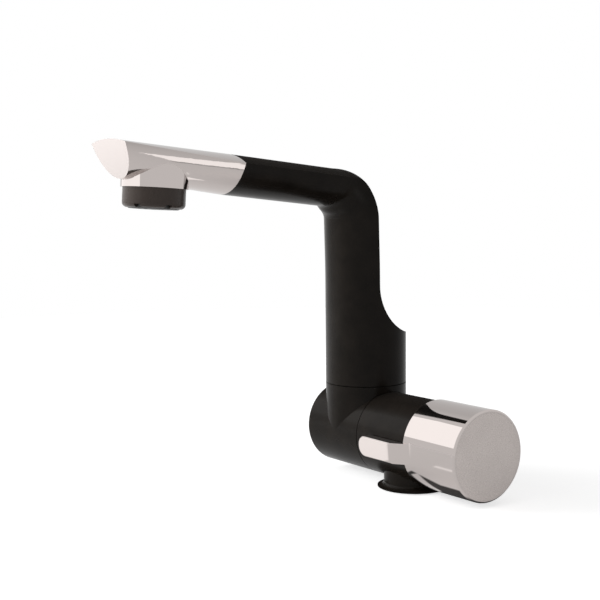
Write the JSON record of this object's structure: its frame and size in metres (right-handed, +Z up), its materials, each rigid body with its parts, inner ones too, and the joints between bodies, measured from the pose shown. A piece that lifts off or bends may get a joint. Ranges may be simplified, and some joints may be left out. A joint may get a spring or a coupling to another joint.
{
  "type": "folding electric tap",
  "caption": "Folding electric tap with black lacquered body, chromed spout head and knob; turning the finger lever opens the valve and presses the pump switch.",
  "frame": {"origin": "Centre of the foot's underside, on the worktop. +X runs along the barrel towards the knob, -Y is the way the spout points, +Z is up.", "axes": "right-handed, +Z up, -Y front"},
  "size_m": [0.1106, 0.1624, 0.1654],
  "materials": {
    "black_lacquer": "gloss",
    "chrome": "polished",
    "brushed_chrome": "brushed",
    "aerator_plastic": "gloss",
    "black_plastic": "matte",
    "slide_plastic": "matte",
    "clear_hose": "satin",
    "switch_red": "satin",
    "rubber": "matte",
    "brass": "satin",
    "spring_steel": "satin",
    "ceramic": "polished"
  },
  "bodies": {
    "base": {"foot": "black_lacquer", "foot_gasket": "rubber", "cable_grommet": "rubber", "body_shell": "black_lacquer", "fold_ring": "slide_plastic", "pivot_spigot": "brass", "pivot_seals": "rubber", "pivot_washer": "slide_plastic", "pivot_clip": "spring_steel", "valve_seal": "rubber", "valve_o_ring": "rubber", "fixed_disc": "ceramic", "valve_body": "brass", "valve_carrier": "black_plastic", "retaining_ring": "brass", "micro_switch": "black_plastic", "switch_bracket": "spring_steel", "switch_screws": "spring_steel"},
    "tee": {"tee_housing": "black_lacquer", "tee_end_cap": "black_plastic", "riser_tube": "brass", "riser_seals": "rubber", "swivel_ring": "slide_plastic"},
    "spout": {"spout_body": "black_lacquer", "spout_screw": "spring_steel", "water_tube": "clear_hose", "spout_head": "chrome", "aerator_ring": "aerator_plastic", "aerator_insert": "black_plastic", "aerator_core": "slide_plastic", "aerator_seal": "rubber"},
    "knob": {"knob_lever": "chrome", "knob_disc": "brushed_chrome", "knob_hub": "black_plastic", "knob_screw": "spring_steel", "valve_spindle": "brass", "spindle_o_ring": "rubber", "moving_disc": "ceramic", "switch_cam": "slide_plastic"},
    "plunger": {"switch_plunger": "switch_red"}
  },
  "joints": [
    {"name": "spout_fold", "type": "hinge", "parent": "base", "child": "tee", "pos_m": [-0.0365, 0, 0.0231], "axis": [-1, 0, 0], "range_deg": [0, 90]},
    {"name": "spout_swivel", "type": "hinge", "parent": "tee", "child": "spout", "pos_m": [-0.0365, 0, 0.0465], "axis": [0, 0, 1], "range_deg": [-90, 90]},
    {"name": "knob_turn", "type": "hinge", "parent": "base", "child": "knob", "pos_m": [0.017, 0, 0.0231], "axis": [-1, 0, 0], "range_deg": [0, 90]},
    {"name": "plunger_press", "type": "slide", "parent": "base", "child": "plunger", "axis": [0, 0, 1], "range_m": [0, 0.0015]}
  ],
  "couplings": [
    {"joint": "plunger_press", "follows": "knob_turn", "m_per_rad": 0.00095493}
  ]
}
